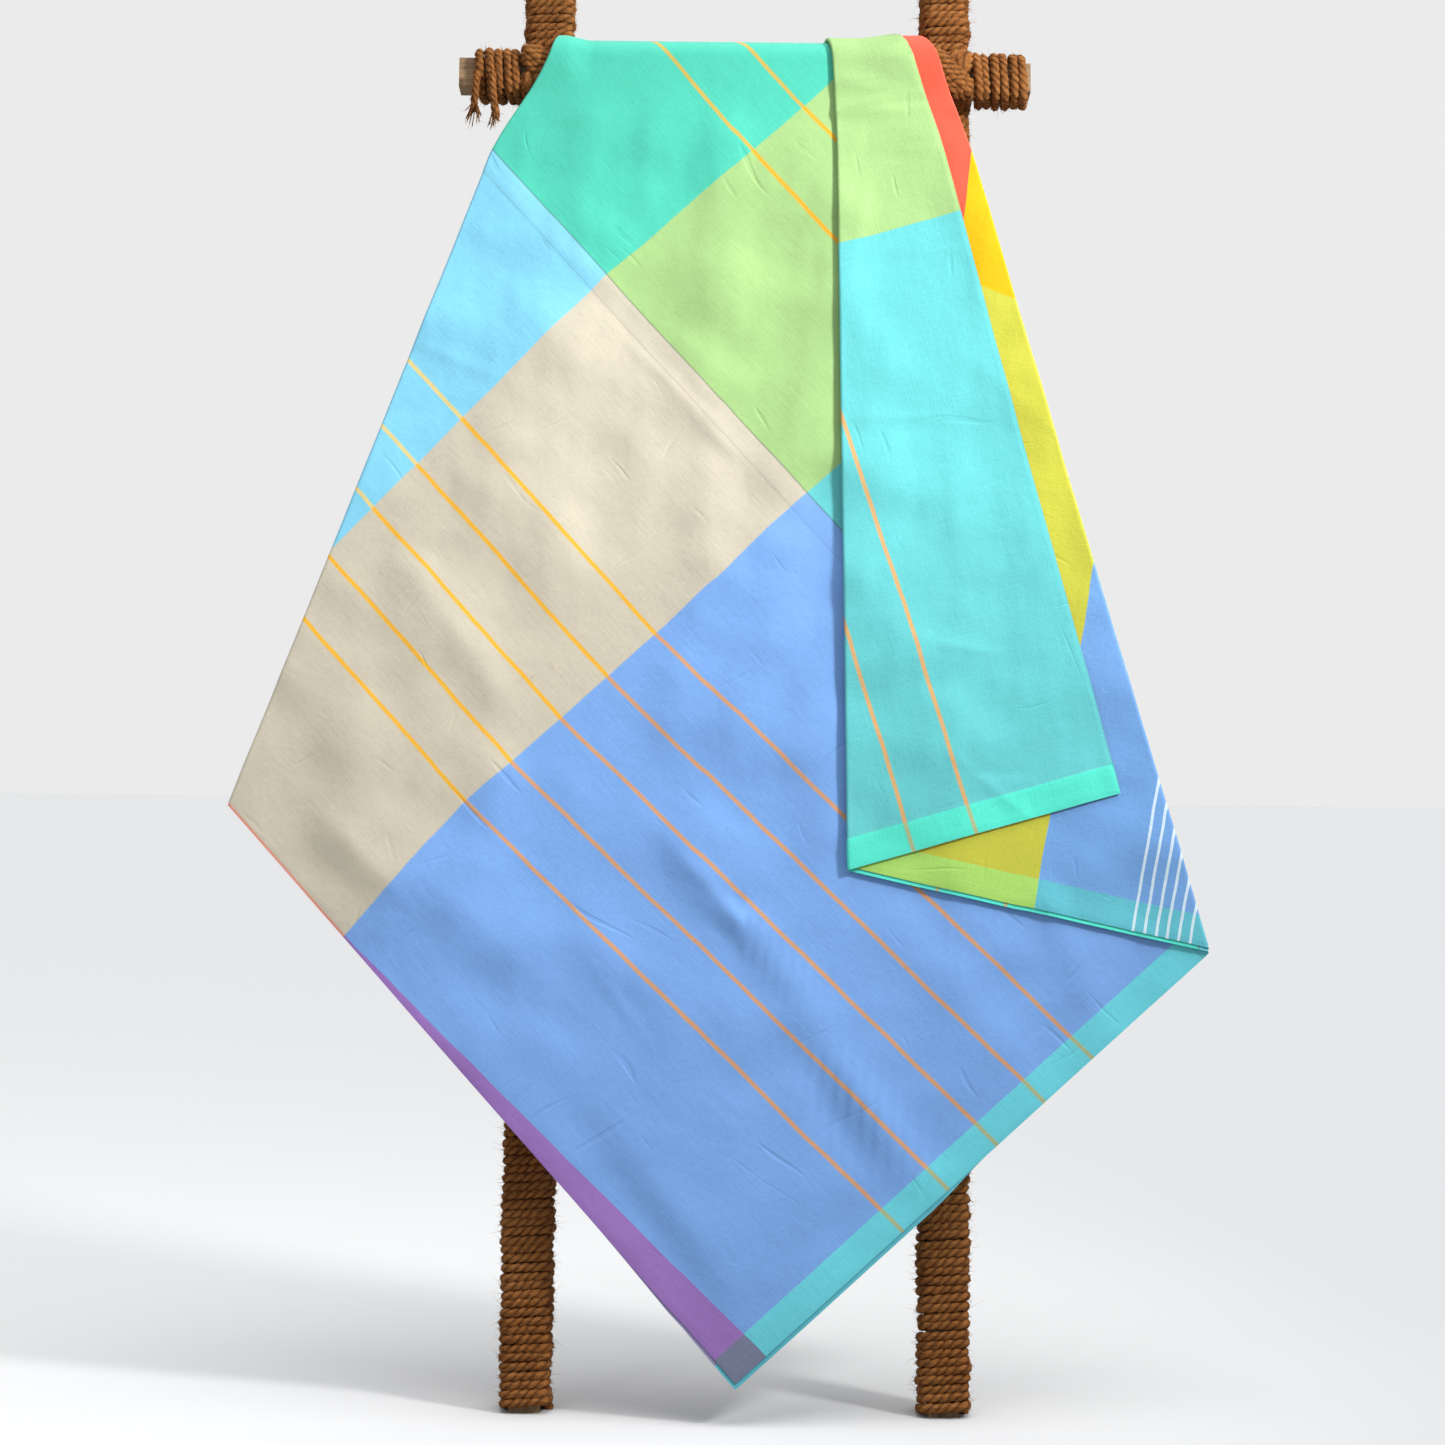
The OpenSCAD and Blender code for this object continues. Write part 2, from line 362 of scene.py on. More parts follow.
def backing_colour(n, u, u0, low, hem):
    blue = n.step(u0, SEAM_U)
    lemon = n.step(u, WARP_1)
    coral = n.step(u, WARP_2)
    green = n.step(u, WARP_GREEN)
    teal = n.step(u, WARP_TEAL)
    yellow = n.mix(low, srgb("E7BA00"), srgb("CBCB46"))
    colour = n.mix(green, srgb("9B95BE"), srgb("A4D28C"))
    colour = n.mix(teal, colour, n.mix(low, srgb("F2C14A"), srgb("78CBC6")))
    colour = n.mix(blue, colour, srgb("79ABE6"))
    colour = n.mix(lemon, colour, yellow)
    colour = n.mix(coral, colour, srgb("FA5D45"))
    hem_col = n.mix(lemon, srgb("67C7D6"), srgb("B4E470"))
    colour = n.mix(hem, colour, n.mix(coral, hem_col, srgb("F2A25A")))
    for edge in WHITE_STRIPES:
        one = n.math("COMPARE", u, SEAM_U + edge, WHITE_STRIPE_W / 2)
        colour = n.mix(n.math("MULTIPLY", one, 0.9), colour, srgb("E4F6FF"))
    return colour


def quilt_pattern(n, face):
    """Colour of the cloth from its place on the flat quilt: u across, v up from the hem."""
    uv = n.add("ShaderNodeUVMap", "UV", {"uv_map": "cut"})
    split = n.tree.nodes.new("ShaderNodeSeparateXYZ")
    n.put(split.inputs[0], uv)
    u0 = n.math("MULTIPLY", split.outputs[0], QUILT_W)
    v0 = n.math("MULTIPLY", split.outputs[1], QUILT_L)
    place = n.vector(u0, v0)
    # woven edges wander by a few millimetres at most
    drift = n.math("MULTIPLY_ADD", n.noise(place, 9.0, 3.0), 0.006, -0.003)
    u = n.math("ADD", u0, drift)
    v = n.math("ADD", v0, drift)
    # the weft blocks are not woven quite square: they rise to the right and droop to the left
    rise = n.math("MULTIPLY", n.step(u0, 1.15, 0.15), -WEFT_RISE)
    rise = n.math("MULTIPLY_ADD", n.step(u0, 0.62, 0.16), -0.010, rise)
    droop = n.math("MAXIMUM", n.math("SUBTRACT", 0.21, u0), 0.0)
    v_low = n.math("ADD", n.math("ADD", v, rise), n.math("MULTIPLY", droop, 0.12))
    low = n.math("SUBTRACT", 1.0, n.step(v_low, WEFT_1))
    hem = n.math("SUBTRACT", 1.0, n.step(v0, HEM))
    if face:
        left_of_seam = n.math("MAXIMUM", n.math("SUBTRACT", SEAM_U, u0), 0.0)
        top = n.step(n.math("MULTIPLY_ADD", left_of_seam, 0.072, v), WEFT_2)
        colour = face_colour(n, skewed(n, u, u0, v0), u0, low, top, hem)
    else:
        colour = backing_colour(n, u, u0, low, hem)
    return u0, v0, place, colour


def cloth_material(name, face):
    n = Nodes(name)
    u0, v0, place, colour = quilt_pattern(n, face)
    # slubs: long soft streaks along both sets of threads, and a slow change of shade
    warp = n.noise(n.vector(n.math("MULTIPLY", u0, 900.0), n.math("MULTIPLY", v0, 14.0)), 1.0, 3.0)
    weft = n.noise(n.vector(n.math("MULTIPLY", u0, 14.0), n.math("MULTIPLY", v0, 900.0)), 1.0, 3.0)
    slub = n.math("ADD", warp, weft)
    shade = n.math("MULTIPLY_ADD", slub, 0.16, 0.84)
    cloud = n.math("MULTIPLY_ADD", n.noise(place, 5.0, 4.0), 0.10, 0.95)
    shade = n.math("MULTIPLY", shade, cloud)
    grey = n.vector(shade, shade, shade)
    colour = n.mix(1.0, colour, grey, "MULTIPLY")
    n.put(n.shader.inputs["Base Color"], colour)
    # plain weave: threads over and under each other
    turn = 2 * math.pi / WEAVE
    over = n.math("MULTIPLY", n.math("SINE", n.math("MULTIPLY", u0, turn)),
                  n.math("SINE", n.math("MULTIPLY", v0, turn)))
    crumple = n.noise(place, 26.0, 5.0, 0.62)
    fine = n.noise(place, 160.0, 3.0)
    # fine creases: sparse short streaks, roughly along both sets of threads
    bend = n.math("MULTIPLY_ADD", n.noise(place, 4.0, 1.0), 0.16, -0.08)
    cross = n.math("ADD", u0, bend)
    length = n.math("SUBTRACT", v0, bend)
    lengthways = n.vector(n.math("MULTIPLY", cross, 60.0), n.math("MULTIPLY", length, 9.0))
    crossways = n.vector(n.math("MULTIPLY", cross, 8.0), n.math("MULTIPLY", length, 64.0), 5.0)
    crease = n.math("ADD", n.step(n.noise(lengthways, 1.0, 1.0), 0.75, 0.06),
                    n.step(n.noise(crossways, 1.0, 1.0), 0.74, 0.06))
    normal = n.bump(crumple, 0.004, 0.36)
    normal = n.bump(crease, 0.0010, 0.55, normal)
    normal = n.bump(n.math("ADD", slub, n.math("MULTIPLY", fine, 0.6)), 0.0005, 0.5, normal)
    normal = n.bump(over, 0.00012, 0.35, normal)
    n.put(n.shader.inputs["Normal"], normal)
    rough = n.math("MULTIPLY_ADD", slub, 0.10, 0.68)
    n.put(n.shader.inputs["Roughness"], rough)
    n.shader.inputs["Specular IOR Level"].default_value = 0.25
    n.shader.inputs["Sheen Weight"].default_value = 0.18
    n.shader.inputs["Sheen Roughness"].default_value = 0.45
    return n.mat


# ---------------------------------------------------------------- quilt shape
def fold_directions():
    """Direction from straight down at each fold, in degrees, and at the first edge."""
    right = RIGHT_DIR
    flap = right - (FOLD_CUTS[1] - FOLD_CUTS[0])
    left = right - (FOLD_CUTS[2] - FOLD_CUTS[1])
    inner = left + (FOLD_CUTS[3] - FOLD_CUTS[2])
    last = inner - (FOLD_CUTS[4] - FOLD_CUTS[3])
    return [flap, right, left, inner, last]


FOLD_DIRS = fold_directions()


def fan_place(phi, r):
    """Direction (radians) and layer depth (in layers, 0 at the front) of cut point phi, r.
    Between two folds the cloth lies in one layer; at a fold it turns round a small half circle."""
    cuts = np.radians(FOLD_CUTS)
    dirs = np.radians(FOLD_DIRS)
    nearest = np.abs(phi[..., None] - cuts).argmin(-1)
    half_turn = math.pi * FOLD_R / 2
    along = r * (phi - cuts[nearest])
    turn = np.clip(along / half_turn, -1, 1) * math.pi / 2
    past = np.maximum(np.abs(along) - half_turn, 0)
    inward = FOLD_R * (1 - np.cos(turn)) + past
    side = np.where(nearest % 2 == 0, -1.0, 1.0)
    direction = dirs[nearest] - side * inward / np.maximum(r, 1e-3)
    depth = nearest + 0.5 + 0.5 * np.sin(turn)
    return direction, depth


def reach(phi):
    """Distance from the gather point to the quilt's outer edge in the cut direction phi."""
    cos, sin = np.cos(phi), np.sin(phi)
    hem = np.where(cos > 0.01, GATHER_UP / np.maximum(cos, 0.01), FAR_AWAY)
    top = np.where(cos < -0.01, (QUILT_L - GATHER_UP) / np.maximum(-cos, 0.01), FAR_AWAY)
    left = (QUILT_W + GATHER_OUT) / sin
    return np.minimum(np.minimum(hem, top), left)


# the wrapped top rung under the cloth: its corners, the flat between them, and where the first corner starts
RAIL_R = RAIL_CORNER + CLOTH_GAP
RAIL_FLAT = 2 * (HALF_WRAP - RAIL_CORNER)
RAIL_START = TOP_RUNG + HALF_WRAP - RAIL_CORNER
# the depth in the stack at which the cloth keeps its length round the corners
MID_DEPTH = 0.008


def over_rung(s, out):
    """Depth and height of the cloth in the upright ladder: up the front, over the rung, down behind.
    s is the height it would have if it went straight on, out its distance from the innermost layer."""
    mid = RAIL_R + MID_DEPTH
    first = mid * math.pi / 2
    second = mid * (math.pi / 2 - LEAN)
    q = s - RAIL_START
    radius = RAIL_R + out
    half_flat = RAIL_FLAT / 2
    # front fall
    y = RUNG_Y - half_flat - radius
    z = TOP_RUNG + half_flat + q
    # first corner, front to top
    a = np.clip(q / mid, 0, math.pi / 2)
    on = q > 0
    y = np.where(on, RUNG_Y - half_flat - radius * np.cos(a), y)
    z = np.where(on, TOP_RUNG + half_flat + radius * np.sin(a), z)
    # flat top
    on = q > first
    flat = np.clip(q - first, 0, RAIL_FLAT)
    y = np.where(on, RUNG_Y - half_flat + flat, y)
    z = np.where(on, TOP_RUNG + half_flat + radius, z)
    # second corner, top to hanging straight down
    q2 = q - first - RAIL_FLAT
    on = q2 > 0
    b = np.clip(q2 / mid, 0, math.pi / 2 - LEAN)
    y = np.where(on, RUNG_Y + half_flat + radius * np.sin(b), y)
    z = np.where(on, TOP_RUNG + half_flat + radius * np.cos(b), z)
    # back fall
    q3 = np.maximum(q - first - RAIL_FLAT - second, 0)
    y = y + q3 * math.sin(LEAN)
    z = z - q3 * math.cos(LEAN)
    return y, z


def waves(x, s):
    """Soft folds that all the layers share, in metres out from the rack."""
    hang = smooth(1.55, 1.15, s)
    fan = (x - GATHER_X) / np.maximum(GATHER_S - s, 0.2)
    out = 0.0026 * np.sin(fan * 21.0 + 0.6) + 0.0016 * np.sin(fan * 37.0 + 1.9 + 1.5 * s)
    out = out * smooth(1.60, 1.3, s)
    out += 0.0032 * np.sin(7.0 * (x + 0.9 * s) + 0.8) * hang
    out += 0.0022 * np.sin(11.0 * (x - 0.8 * s) + 2.1) * hang
    # the free lower corner swings forward a little, and the left tip curls back
    out += 0.004 * smooth(0.55, 0.1, s)
    out -= 0.006 * smooth(-0.42, -0.60, x)
    return out


def creases(x, s):
    """Sharp shallow creases left by folding and handling, in metres."""
    rng = np.random.default_rng(CREASE_SEED)
    out = np.zeros_like(x)
    for _ in range(CREASE_COUNT):
        cx, cs = rng.uniform(-0.5, 0.5), rng.uniform(0.15, 1.55)
        angle = rng.uniform(-1.2, 1.2) + (0.8 if rng.random() < 0.5 else -0.8)
        length, width = rng.uniform(0.03, 0.12), rng.uniform(0.0060, 0.011)
        height = rng.uniform(-0.0011, 0.0013)
        along = (x - cx) * math.cos(angle) + (s - cs) * math.sin(angle)
        across = -(x - cx) * math.sin(angle) + (s - cs) * math.cos(angle)
        out += height * np.exp(-(along / length) ** 2 - np.abs(across / width) ** 1.5)
    return out


# soft folds: middle (x, s), degrees from straight up towards the left, half length, width, height
SOFT_FOLDS = [
    (0.158, 0.345, 36, 0.095, 0.015, 0.0105), (0.118, 0.345, 34, 0.085, 0.012, -0.0040),
    (-0.060, 0.215, 36, 0.110, 0.030, 0.0042), (-0.120, 0.250, 38, 0.120, 0.026, -0.0036),
    (0.030, 0.540, 42, 0.130, 0.018, 0.0060), (-0.010, 0.600, 75, 0.045, 0.012, -0.0030),
    (-0.300, 0.560, 50, 0.120, 0.040, 0.0035), (0.300, 0.440, 40, 0.110, 0.030, 0.0035),
    (-0.210, 1.010, 30, 0.070, 0.045, 0.0046), (-0.330, 0.900, 35, 0.090, 0.030, 0.0032),
    (-0.390, 0.740, -42, 0.110, 0.010, -0.0026), (-0.060, 1.190, 45, 0.120, 0.012, 0.0014),
    (0.020, 0.860, -30, 0.120, 0.040, 0.0030), (-0.450, 0.650, 45, 0.090, 0.028, 0.0036),
    (0.230, 0.275, 42, 0.060, 0.012, 0.0042), (0.200, 0.620, 35, 0.090, 0.024, -0.0030),
    (0.380, 0.560, 22, 0.100, 0.020, 0.0030), (-0.150, 1.330, 52, 0.140, 0.018, 0.0012),
]
# sharp creases, in the same form
SHARP_CREASES = [
    (0.266, 1.566, 92, 0.018, 0.007, 0.0026), (0.100, 0.178, 68, 0.018, 0.006, 0.0016),
    (0.125, 0.180, 88, 0.020, 0.006, -0.0016), (0.250, 0.286, 86, 0.018, 0.007, 0.0020),
    (0.010, 0.600, 75, 0.016, 0.006, 0.0014), (-0.022, 0.560, 55, 0.014, 0.006, -0.0013),
    (-0.080, 0.360, 80, 0.012, 0.006, 0.0011), (0.115, 0.400, 40, 0.030, 0.006, 0.0013),
    (0.160, 0.330, 38, 0.035, 0.006, -0.0013), (-0.030, 1.150, 46, 0.026, 0.008, 0.0014),
    (-0.060, 1.205, 48, 0.020, 0.007, -0.0012), (-0.100, 1.235, 44, 0.024, 0.007, 0.0012),
    (-0.250, 0.640, 62, 0.020, 0.006, 0.0011), (0.480, 0.560, 60, 0.020, 0.008, 0.0018),
    (-0.140, 0.475, 35, 0.040, 0.006, 0.0012),
]
FLAP_CREASES = [
    (0.140, 1.598, 93, 0.030, 0.007, 0.0036), (0.148, 1.566, 99, 0.045, 0.007, 0.0040),
    (0.148, 1.552, 99, 0.045, 0.007, -0.0008), (0.180, 1.520, 94, 0.035, 0.007, 0.0014),
    (0.180, 1.180, 92, 0.060, 0.008, 0.0012), (0.260, 0.900, 80, 0.050, 0.008, 0.0013),
    (0.200, 1.390, 100, 0.050, 0.008, 0.0012), (0.300, 0.750, 88, 0.040, 0.007, -0.0008),
]


def ridges(x, s, table):
    """Sum of straight ridges that fade out at their ends and sides."""
    out = np.zeros_like(x)
    for cx, cs, degrees, length, width, height in table:
        angle = math.radians(degrees)
        along = -(x - cx) * math.sin(angle) + (s - cs) * math.cos(angle)
        across = (x - cx) * math.cos(angle) + (s - cs) * math.sin(angle)
        out += height * np.exp(-(along / length) ** 2 - np.abs(across / width) ** 1.7)
    return out


def crumple(x, s):
    """Shallow uneven surface: many small plane waves, the short ones lower."""
    rng = np.random.default_rng(CRUMPLE_SEED)
    out = np.zeros_like(x)
    for _ in range(CRUMPLE_WAVES):
        wave = rng.uniform(0.028, 0.19)
        angle = rng.uniform(0, math.pi)
        k = 2 * math.pi / wave
        phase = rng.uniform(0, 2 * math.pi)
        bend = 0.35 * np.sin(9 * x + 7 * s + phase)
        run = x * math.cos(angle) + s * math.sin(angle)
        out += CRUMPLE_HEIGHT * wave * np.sin(k * run + phase + bend)
    return out


def squeeze(x, s):
    """The cloth draws together where it crosses the rung, and more so between the posts."""
    left = 1 - 0.082 * smooth(1.50, 1.64, s) - 0.045 * smooth(1.66, 1.70, s)
    right = 1 - 0.030 * smooth(1.50, 1.63, s) - 0.080 * smooth(1.63, 1.675, s)
    off = x - GATHER_X
    return GATHER_X + off * np.where(off < 0, left, right)


def place_cloth(phi, r):
    """World points of the quilt's cut points, in the middle of the quilt's own thickness."""
    direction, depth = fan_place(phi, r)
    x = GATHER_X + r * np.sin(direction)
    s = GATHER_S - r * np.cos(direction)
    # the flap was laid a little further right than its fold alone would put it
    first, second = np.radians(FOLD_CUTS[:2])
    flap = np.clip((second - phi) / (second - first), 0, 1)
    x = x + flap * (FLAP_RIGHT + FLAP_RIGHT_TOP * np.clip((s - 0.64) / 0.96, 0, 1))
    s = s + FLAP_UP * flap * smooth(1.2, 0.8, s)
    # behind the rung one more layer lies inside the stack
    out = (4.5 - depth + smooth(1.70, 1.74, s)) * LAYER
    lively = 1 + 0.8 * smooth(0.25, 0.5, s)
    wave = waves(x, s) + lively * (ridges(x, s, SOFT_FOLDS) + crumple(x, s)) + 0.004
    shared = 0.5 * (wave + np.sqrt(wave ** 2 + 0.003 ** 2))
    front = smooth(2.6, 2.2, depth)
    on_flap = smooth(0.9, 0.5, depth)
    own = front * creases(x, s) * smooth(1.62, 1.5, s)
    own += (front - on_flap) * ridges(x, s, SHARP_CREASES) + on_flap * ridges(x, s, FLAP_CREASES)
    own = np.maximum(own, CREASE_FLOOR)
    own += flap_lift(depth, s)
    out = out + shared * smooth(1.62, 1.5, s) + own
    # lashings lift the cloth at both ends of the rung
    squeezed = squeeze(x, s)
    lift = LIFT_LEFT * smooth(-0.19, -0.225, squeezed) + LIFT_RIGHT * smooth(0.130, 0.200, squeezed)
    near_top = smooth(1.58, 1.63, s) * smooth(1.76, 1.70, s)
    out = np.maximum(out + lift * near_top, 0.0)
    y, z = over_rung(s, out)
    return to_world(np.stack([squeezed, y, z], -1))


def flap_lift(depth, s):
    """The flap and the pleat hang a little away from the layers behind them."""
    free = smooth(1.55, 0.9, s)
    return free * (0.0035 * smooth(1.9, 0.6, depth) + 0.002 * smooth(2.4, 1.4, depth))


def quilt_grid():
    """Cut directions and distances of the quilt's grid: close together round the folds."""
    edge = math.atan(GATHER_OUT / GATHER_UP)
    last = math.pi - math.atan(GATHER_OUT / (QUILT_L - GATHER_UP))
    corners = [
        math.atan((QUILT_W + GATHER_OUT) / GATHER_UP),
        math.pi - math.atan((QUILT_W + GATHER_OUT) / (QUILT_L - GATHER_UP)),
    ]
    stops = sorted([edge, last] + corners + [math.radians(a) for a in FOLD_CUTS])
    columns = []
    for a, b in zip(stops[:-1], stops[1:]):
        if a == edge:
            # even steps along the selvedge, which runs almost straight at the gather point
            far, near = GATHER_OUT / math.sin(a), GATHER_OUT / math.sin(b)
            steps = np.linspace(far, near, SELVEDGE_COLUMNS, endpoint=False)
            columns += list(np.arcsin(GATHER_OUT / steps))
        else:
            count = max(6, int(math.degrees(b - a) * 2.6))
            columns += list(np.linspace(a, b, count, endpoint=False))
    columns.append(last)
    for cut in FOLD_CUTS:
        beside = np.radians([-0.28, -0.2, -0.13, -0.07, -0.03, 0.03, 0.07, 0.13, 0.2, 0.28])
        columns += [math.radians(cut) + d for d in beside]
    phi = np.array(sorted(columns))
    rows = np.linspace(0, 1, ROWS)
    start = GATHER_OUT / np.sin(phi)
    r = start[:, None] + rows[None, :] * (reach(phi) - start)[:, None]
    return np.broadcast_to(phi[:, None], r.shape), r


def cut_uv(phi, r):
    """Place on the flat quilt, as a share of its width and length."""
    u = QUILT_W + GATHER_OUT - r * np.sin(phi)
    v = GATHER_UP - r * np.cos(phi)
    return np.stack([u / QUILT_W, v / QUILT_L], -1)


def grid_faces(rows, columns, flip):
    """Four-sided faces of a grid of points, turned over if flip is set."""
    i, j = np.meshgrid(np.arange(rows - 1), np.arange(columns - 1), indexing="ij")
    a = (i * columns + j).ravel()
    quad = np.stack([a, a + 1, a + columns + 1, a + columns], -1)
    return quad[:, ::-1] if flip else quad


def normals_of(p):
    """Unit normals of a grid of points."""
    du = np.gradient(p, axis=0)
    dv = np.gradient(p, axis=1)
    n = np.cross(du, dv)
    return n / np.maximum(np.linalg.norm(n, axis=-1, keepdims=True), 1e-12)


def make_quilt():
    """Two plies of one quilt, the face and the backing, 1.8 mm apart and closer at the edges."""
    phi, r = quilt_grid()
    middle = place_cloth(phi, r)
    normal = normals_of(middle)
    uv = cut_uv(phi, r)
    u, v = uv[..., 0] * QUILT_W, uv[..., 1] * QUILT_L
    rim = np.minimum(np.minimum(u, QUILT_W - u), np.minimum(v, QUILT_L - v))
    half = HALF_RIM + HALF_GAIN * smooth(0.0, 0.006, rim)
    seam = smooth(SEAM_U - SEAM_BAND - 0.001, SEAM_U - SEAM_BAND + 0.001, u)
    seam = seam * smooth(SEAM_U + 0.001, SEAM_U - 0.001, u)
    hem = smooth(HEM + 0.001, HEM - 0.001, np.minimum(v, QUILT_L - v))
    face_out = half + SEAM_PROUD * seam + HEM_PROUD * hem
    front_panel = np.abs(phi[:, 0] - math.radians(45)).argmin()
    sign = -1.0 if normal[front_panel, phi.shape[1] // 2, 1] > 0 else 1.0
    # the backing hangs out past the face at the lower hem, and stops short of it on the pleat
    shorter = BACKING_SHORTER * smooth(0.70, 0.76, u) * smooth(1.26, 1.2, u)
    longer = BACKING_LONGER * smooth(0.40, 0.30, u) - shorter
    back_r = r + longer * smooth(0.25, 0.0, v)
    backing = place_cloth(phi, back_r)
    for name, base, shift, is_face in (("quilt_face", middle, face_out, True),
                                       ("quilt_backing", backing, -half, False)):
        points = base + normal * (sign * shift)[..., None]
        faces = grid_faces(*phi.shape, flip=(sign > 0) != is_face)
        mat = cloth_material(name + "_cotton", is_face)
        piece = mesh_object(name, points.reshape(-1, 3), faces, mat, uv.reshape(-1, 2))
        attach(piece, "quilt")
    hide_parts("quilt_front_flap", "quilt_right_pleat", "quilt_front_panel",
                "quilt_inner_layer_1", "quilt_inner_layer_2", "quilt_saddle", "quilt_back_fall")


# ---------------------------------------------------------------- rope
def rope_material():
    n = Nodes("coir_rope")
    uv = n.add("ShaderNodeUVMap", "UV", {"uv_map": "cut"})
    place = n.add("ShaderNodeTexCoord", "Object")
    split = n.tree.nodes.new("ShaderNodeSeparateXYZ")
    n.put(split.inputs[0], uv)
    # u runs along the rope in metres, v once round it: fibres follow the strands' twist
    along = split.outputs[0]
    around = n.math("MULTIPLY_ADD", along, -1 / ROPE_LAY, split.outputs[1])
    strand = n.math("ABSOLUTE", n.math("COSINE", n.math("MULTIPLY", around, 3 * math.pi)))
    strand = n.math("POWER", strand, 0.6)
    fibre_at = n.vector(n.math("MULTIPLY", along, 60.0), n.math("MULTIPLY", around, 34.0))
    fibre = n.noise(fibre_at, 1.0, 4.0, 0.7)
    patch = n.noise(place, 14.0, 4.0, 0.6)
    grain = n.noise(place, 420.0, 3.0, 0.6)
    ramp = n.tree.nodes.new("ShaderNodeValToRGB")
    tones = [(0.24, "4E2C16"), (0.42, "8C5429"), (0.56, "B47740"), (0.74, "DCA468")]
    while len(ramp.color_ramp.elements) < len(tones):
        ramp.color_ramp.elements.new(0.5)
    for element, (spot, code) in zip(ramp.color_ramp.elements, tones):
        element.position = spot
        element.color = srgb(code)
    blend = n.math("ADD", n.math("MULTIPLY", fibre, 0.5), n.math("MULTIPLY", patch, 0.3))
    blend = n.math("ADD", blend, n.math("MULTIPLY", grain, 0.2))
    n.put(ramp.inputs[0], blend)
    # painted shade: the colour is darkened in the grooves between the three strands, where shade falls; the
    # same strand profile also drives the bump below
    painted_groove_shade = n.math("MULTIPLY_ADD", strand, 0.55, 0.45)
    shade = n.vector(painted_groove_shade, painted_groove_shade, painted_groove_shade)
    n.put(n.shader.inputs["Base Color"], n.mix(1.0, ramp.outputs[0], shade, "MULTIPLY"))
    n.shader.inputs["Roughness"].default_value = 0.92
    n.shader.inputs["Specular IOR Level"].default_value = 0.15
    normal = n.bump(strand, 0.0020, 1.0)
    normal = n.bump(fibre, 0.0016, 0.8, normal)
    normal = n.bump(grain, 0.0008, 0.6, normal)
    n.put(n.shader.inputs["Normal"], normal)
    return n.mat


def fibre_material():
    n = Nodes("coir_fibre")
    place = n.add("ShaderNodeTexCoord", "Object")
    tone = n.noise(place, 90.0, 2.0)
    n.put(n.shader.inputs["Base Color"], n.mix(tone, srgb("7A4A22"), srgb("D2A066")))
    n.shader.inputs["Roughness"].default_value = 0.8
    n.shader.inputs["Specular IOR Level"].default_value = 0.2
    return n.mat


def rope_tube(path, radius, rng, closed=False, sides=12):
    """Points, faces and uv of a three-strand rope along a path of points."""
    path = np.asarray(path, float)
    step = np.roll(path, -1, 0) - np.roll(path, 1, 0)
    if not closed:
        step[0] = path[1] - path[0]
        step[-1] = path[-1] - path[-2]
    tangent = step / np.linalg.norm(step, axis=1, keepdims=True)
    length = np.concatenate([[0], np.cumsum(np.linalg.norm(np.diff(path, axis=0), axis=1))])
    guide = np.array([0.31, 0.17, 0.93])
    side = np.cross(tangent, guide)
    side /= np.linalg.norm(side, axis=1, keepdims=True)
    up = np.cross(side, tangent)
    turn = np.linspace(0, 2 * math.pi, sides + 1)
    twist = 2 * math.pi * length / ROPE_LAY
    lobes = 1.05 - 0.24 * (1 - np.abs(np.cos(1.5 * (turn[None, :] - twist[:, None]))))
    rough = 1 + 0.08 * rng.standard_normal((len(path), sides + 1))
    rough[:, -1] = rough[:, 0]
    thick = 1 + 0.06 * np.sin(length * 41 + rng.uniform(0, 6)) + 0.03 * rng.standard_normal(len(path))
    size = radius * lobes * rough * thick[:, None]
    if not closed:
        size[[0, -1]] *= 0.03
    points = path[:, None] + size[..., None] * (
        np.cos(turn)[None, :, None] * side[:, None] + np.sin(turn)[None, :, None] * up[:, None])
    rings = len(path)
    i, j = np.meshgrid(np.arange(rings if closed else rings - 1), np.arange(sides), indexing="ij")
    here, after = i * (sides + 1) + j, (i + 1) % rings * (sides + 1) + j
    faces = np.stack([here, here + 1, after + 1, after], -1)
    uv = np.stack(np.broadcast_arrays(length[:, None], turn[None, :] / (2 * math.pi)), -1)
    return points.reshape(-1, 3), faces.reshape(-1, 4), uv.reshape(-1, 2)


def join(parts):
    """One set of points, faces and uv from several."""
    points, faces, uvs, base = [], [], [], 0
    for p, f, t in parts:
        points.append(p)
        faces.append(f + base)
        uvs.append(t)
        base += len(p)
    return np.concatenate(points), np.concatenate(faces), np.concatenate(uvs)


def square_turn(a, half):
    """Point at angle a of a square with rounded corners, half its side from the middle."""
    power = 5.0
    c, s = np.cos(a), np.sin(a)
    reach_out = half / (np.abs(c) ** power + np.abs(s) ** power) ** (1 / power)
    return reach_out * c, reach_out * s


def winding(low, high, half, rng):
    """Path of a rope wound round a batten from low to high: two coordinates across it and one along it."""
    turns = max(2, round((high - low - 2 * ROPE_R) / ROPE_PITCH))
    per_turn = 60
    t = np.linspace(0, turns, turns * per_turn + 1)
    a = 2 * math.pi * t
    marks = np.linspace(0, turns, 2 * turns + 1)
    sway = STRAY * np.interp(t, marks, rng.standard_normal(len(marks)))
    loose = STRAY * np.interp(t, marks, rng.standard_normal(len(marks)))
    p, q = square_turn(a, half)
    grow = 1 + loose / half
    along = low + ROPE_R + (high - low - 2 * ROPE_R) * t / turns + sway
    return p * grow, q * grow, along


